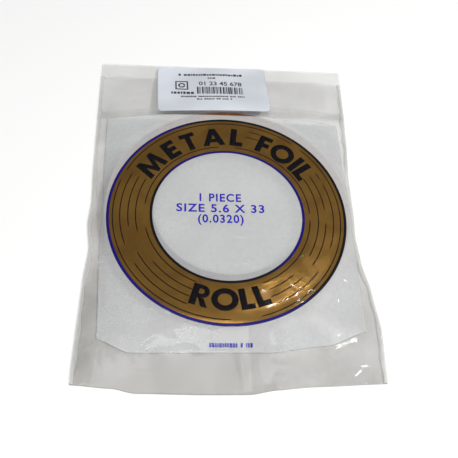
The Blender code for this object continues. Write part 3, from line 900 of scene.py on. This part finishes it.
word_on_circle("METAL", 152.5, 78.75, 43.3 * MM, 11.2 * MM)
word_on_circle("FOIL", 69.0, 28.6, 43.3 * MM, 11.2 * MM)
word_on_circle("ROLL", 247.5, 292.0, 53.4 * MM, 10.9 * MM, upright_below=True)
letters = ring_words.lay("ring_words", on_film(LETTER_LIFT), INK_WALL, 1.6 * MM)
finish_piece(letters, black, "dark_ink", "bag")

# %% [markdown]
# ### Words in the middle
# Thin upright words are close to Blender's own font, so that is used, with each line stretched to its
# width. The small line under the ring is only dashes, too small to read.

# %% Words in the middle
middle_words = Artwork()
for text, width, dy in (("1 PIECE", 21.4, 9.5), ("SIZE 5.6 X 33", 44.9, 3.05), ("(0.0320)", 23.1, -3.9)):
    middle_words.words(text, 4.5 * MM, centre + np.array([-3.6, dy]) * MM, 0.022, 1.16, width * MM)
size_words = middle_words.lay("size_words", on_film(WORD_LIFT), INK_WALL, 2.0 * MM)
finish_piece(size_words, blue, "dark_ink", "bag")
small = Artwork()
pick = np.random.default_rng(7)
x_at = -10.0
while x_at < 9.0:
    long = pick.uniform(0.5, 1.2)
    small.block(PRINT_X + x_at * MM, PRINT_X + (x_at + long) * MM, PRINT_Y - 69.4 * MM, PRINT_Y - 67.6 * MM)
    x_at += long + (1.6 if pick.random() < 0.2 else 0.35)
small_line = small.lay("small_print_line", on_film(WORD_LIFT), INK_WALL, 2.0 * MM)
finish_piece(small_line, blue, "dark_ink", "bag")
print("print laid:", len(letters.data.polygons), "faces in the ring's words")

# %% [markdown]
# ## Flap, adhesive strip and label
# The back sheet goes on over the top fold and down the front as the flap.

# %% Flap
FREE_EDGE, SKEW = flap_low.y + 2.2 * MM, 0.035   # the free edge runs up a little towards the right
u = np.linspace(0, 1, 190)[None, :]
angle = np.linspace(-math.pi / 2, math.pi / 2, 13)[:, None]
radius = (FLAP_FLOOR - OUTER_BACK_Z) / 2
fold_x = OUTER.across(np.array(FOLD_Y), u) + 0 * angle
fold_y = FOLD_Y + radius * np.cos(angle) + 0 * u
fold_z = OUTER_BACK_Z + radius * (1 + np.sin(angle)) + 0 * u
v = np.linspace(0, 1, 110)[1:, None]
free = FREE_EDGE + SKEW * fold_x[:1] + 0.35 * MM * np.sin(fold_x[:1] / (17 * MM))
down_y = FOLD_Y + (free - FOLD_Y) * v
down_x = OUTER.across(down_y, u)
down_z = flap_height(down_x, down_y)
blend_top = ease((FOLD_Y - down_y) / (3 * MM))
down_z = FLAP_FLOOR * (1 - blend_top) + down_z * blend_top
flap = sheet("clear_bag_flap", *(np.concatenate(pair) for pair in
             ((fold_x, down_x), (fold_y, down_y), (fold_z, down_z))), FILM_WALL)
flap.data.flip_normals()
finish_piece(flap, flap_film, "outer_film", None, "outer_flap")
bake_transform(flap)

u, v = np.meshgrid(np.linspace(0, 1, 180), np.linspace(0, 1, 7))
x = OUTER.left(np.array(FREE_EDGE)) + 2.5 * MM + (2 * HALF - 6.5 * MM) * u
y = FREE_EDGE + SKEW * x + (0.9 + 4.2 * v) * MM
strip = sheet("adhesive_strip", x, y, flap_height(x, y) - 0.09 * MM, 0.03 * MM)
finish_piece(strip, glue_film, "adhesive", "flap", "flap_adhesive_strip")
print("flap made,", round((FOLD_Y - FREE_EDGE) / MM, 1), "mm long")

# %% [markdown]
# ### Label
# A coated paper label, put on a little crooked. Its corners are round: near its ends each row is
# shortened by the corner's circle.

# %% Label
LABEL_TURN, CORNER = math.radians(1.7), 3.0 * MM


def turned(points):
    """Label artwork is drawn round (0, 0); this turns it and moves it to its place on the flap."""
    c, s = math.cos(LABEL_TURN), math.sin(LABEL_TURN)
    return points @ np.array([[c, s], [-s, c]]) + [LABEL_X, LABEL_Y]


ends = CORNER * (1 - np.cos(np.linspace(0, math.pi / 2, 9)))
rows = np.concatenate([ends, np.linspace(CORNER, LABEL_H - CORNER, 60)[1:-1], LABEL_H - ends[::-1]])
from_end = np.clip(CORNER - np.minimum(rows, LABEL_H - rows), 0, CORNER)
half_row = LABEL_W / 2 - CORNER + np.sqrt(CORNER**2 - from_end**2)
flat = np.stack([np.linspace(-1, 1, 110)[None, :] * half_row[:, None],
                 np.repeat((rows - LABEL_H / 2)[:, None], 110, 1)], -1).reshape(-1, 2)
flat = turned(flat).reshape(len(rows), 110, 2)


def label_height(x, y):
    """Paper is stiffer than film, so the label smooths out the flap's ripples: it takes their average."""
    around = [(0, 0), (4, 0), (-4, 0), (0, 4), (0, -4)]
    levels = [flap_base(x + a * MM, np.minimum(y + b * MM, FOLD_Y - 1.2 * MM)) for a, b in around]
    return np.mean(levels, 0) + 0.24 * MM


label = sheet("price_label_paper", flat[..., 0], flat[..., 1], label_height(flat[..., 0], flat[..., 1]),
              0.10 * MM)
paper_white = Finish("label_paper", Roughness=0.38, Coat_Weight=0.15)
place = paper_white.where()
# The paper is lighter and darker in broad soft patches.
tooth, broad_patches = paper_white.noise(1400, place, 3, 0.6), paper_white.noise(28, place, 1)
paper_white.feed(Base_Color=paper_white.tint(paper_white.step(broad_patches, 0.35, 0.65),
                                             (0.60, 0.63, 0.68), (0.74, 0.77, 0.84)),
                 Roughness=0.36 + 0.12 * tooth, Normal=paper_white.bump(tooth, 0.02 * MM))
finish_piece(label, paper_white, "label_paper", "flap", "price_label")

# %% [markdown]
# ### Label print
# Thermal print is matt black with a slight grain. The bars have random widths and stand for no code,
# and the small lines are dashes.

# %% Label print
thermal = Finish("thermal_print", Roughness=0.5)
grain = thermal.noise(1500, thermal.where(), 2)
thermal.feed(Base_Color=thermal.tint(grain, (0.015, 0.015, 0.02), (0.05, 0.05, 0.06)))
pick = np.random.default_rng(3)
art = Artwork()
x_at = -9.2
while x_at < 17.4:
    wide = pick.choice([0.3, 0.3, 0.6, 0.9])
    art.block(x_at * MM, (x_at + wide) * MM, -4.6 * MM, 1.6 * MM)
    x_at += wide + pick.choice([0.3, 0.3, 0.5, 0.8])
for x0, x1, y0, y1 in ((-21.6, -14.2, 5.8, 6.6), (-21.6, -14.2, -1.0, -0.2), (-21.6, -20.8, -0.2, 5.8),
                       (-15.0, -14.2, -0.2, 5.8)):
    art.block(x0 * MM, x1 * MM, y0 * MM, y1 * MM)
art.arc(np.array([-17.9, 2.8]) * MM, 1.6 * MM, 0.9 * MM, 0, 357, 12)
art.words("01 23 45 678", 3.1 * MM, np.array([4.6, 4.6]) * MM, 0.02, 1.0, 25 * MM)


def greeked(x0, x1, y0, tall, seed):
    """A line of print too small to read: short dashes with word gaps."""
    pick, x_at = np.random.default_rng(seed), x0
    while x_at < x1:
        long = pick.uniform(0.35, 0.9) * tall
        art.block(x_at * MM, (x_at + long) * MM, y0 * MM, (y0 + tall * pick.uniform(0.75, 1)) * MM)
        x_at += long + tall * (0.9 if pick.random() < 0.22 else 0.22)


greeked(-19.5, 17.0, 11.8, 2.0, 1)
greeked(-2.5, 3.0, 8.8, 1.6, 2)
greeked(-24.0, -12.0, -4.8, 2.3, 3)
greeked(-18.5, 17.5, -7.6, 1.3, 4)
greeked(-9.5, 10.0, -9.9, 1.3, 5)
code = art.lay("label_print", lambda x, y: label_height(x, y) + WORD_LIFT, INK_WALL, 1.3 * MM, turned)
finish_piece(code, thermal, "dark_ink", "flap")
print("label", round(LABEL_W / MM, 1), "by", round(LABEL_H / MM, 1), "mm")

# %% [markdown]
# ## Stage, light and camera
# A white floor and four soft lights: a key to the right, a small window behind the right side, which
# draws the sheen on the ring, a wide one overhead and a large fill in front. The camera is above the
# near edge, turned a little round its own axis, as someone holding it by hand would.

# %% Stage
floor_paint = Finish("floor", Roughness=0.9)
floor_paint.shader.inputs["Base Color"].default_value = (0.95, 0.95, 0.95, 1)
REACH, UNDER = 3.0, -0.2 * MM
floor = piece_from("floor", [(-REACH, -REACH, UNDER), (REACH, -REACH, UNDER), (REACH, REACH, UNDER),
                             (-REACH, REACH, UNDER)], [[0, 1, 2, 3]], smooth=False)
floor.data.materials.append(floor_paint.material)

world = bpy.data.worlds.new("studio")
bpy.context.scene.world = world
world.use_nodes = True
world.node_tree.nodes["Background"].inputs["Color"].default_value = (0.97, 0.98, 1, 1)
world.node_tree.nodes["Background"].inputs["Strength"].default_value = 0.19


def facing(right, up, back, at):
    """The matrix of a lamp or camera at a point, from its right, up and backward directions."""
    return Matrix([[right[i], up[i], back[i], at[i]] for i in range(3)] + [[0, 0, 0, 1]])


def soft_light(name, at, aim, size, power, colour=(1, 1, 1)):
    """A disc lamp at a point, turned to face another."""
    lamp = bpy.data.lights.new(name, "AREA")
    lamp.shape, lamp.size, lamp.energy, lamp.color = "DISK", size, power, colour
    away = np.array(at) - np.array(aim)
    away = away / np.linalg.norm(away)
    side = np.cross([0, 1, 0], away)
    side /= np.linalg.norm(side)
    placed(name, lamp).matrix_world = facing(side, np.cross(away, side), away, at)


soft_light("key", (0.53, -0.20, 0.80), (0, 0, 0), 0.20, 4.2, (1, 0.99, 0.97))
soft_light("window", (0.245, 0.315, 0.9926), (0.033, -0.059, 0.007), 0.05, 0.52, (1, 0.98, 0.94))
soft_light("overhead", (-0.05, -0.20, 1.10), (0, 0, 0), 0.55, 3.2)
soft_light("fill", (-0.6, -1.6, 2.6), (0, 0, 0), 1.4, 34.0)

# %% [markdown]
# ### Camera
# The camera is placed by its angles: it stands back from an aim point along its line of sight, and its
# right and up directions are turned round that line by the tilt.

# %% Camera
YAW, ELEVATION, TILT = (math.radians(d) for d in (9.631, 59.117, 9.3135))
DISTANCE = 321.68 * MM
forward = np.array([0, math.cos(ELEVATION), -math.sin(ELEVATION)])
above = np.array([0, math.sin(ELEVATION), math.cos(ELEVATION)])
aim = np.array([1.875, -5.070, 0]) * MM
unturn = np.array([[math.cos(YAW), math.sin(YAW), 0], [-math.sin(YAW), math.cos(YAW), 0], [0, 0, 1]])
right = np.array([1, 0, 0]) * math.cos(TILT) + above * math.sin(TILT)
up = np.array([-1, 0, 0]) * math.sin(TILT) + above * math.cos(TILT)
at = unturn @ (aim - forward * DISTANCE) + [0, PRINT_Y, 0]
right, up, backward = unturn @ right, unturn @ up, unturn @ -forward
lens = bpy.data.cameras.new("camera")
lens.lens, lens.sensor_width, lens.clip_start = 49.33, 36, 0.01
camera = placed("camera", lens)
camera.matrix_world = facing(right, up, backward, at)
bpy.context.scene.camera = camera
print("camera at", np.round(at, 3))

# %% [markdown]
# ## The end
# The scene is brought up to date.

# %% The end
bpy.context.view_layer.update()
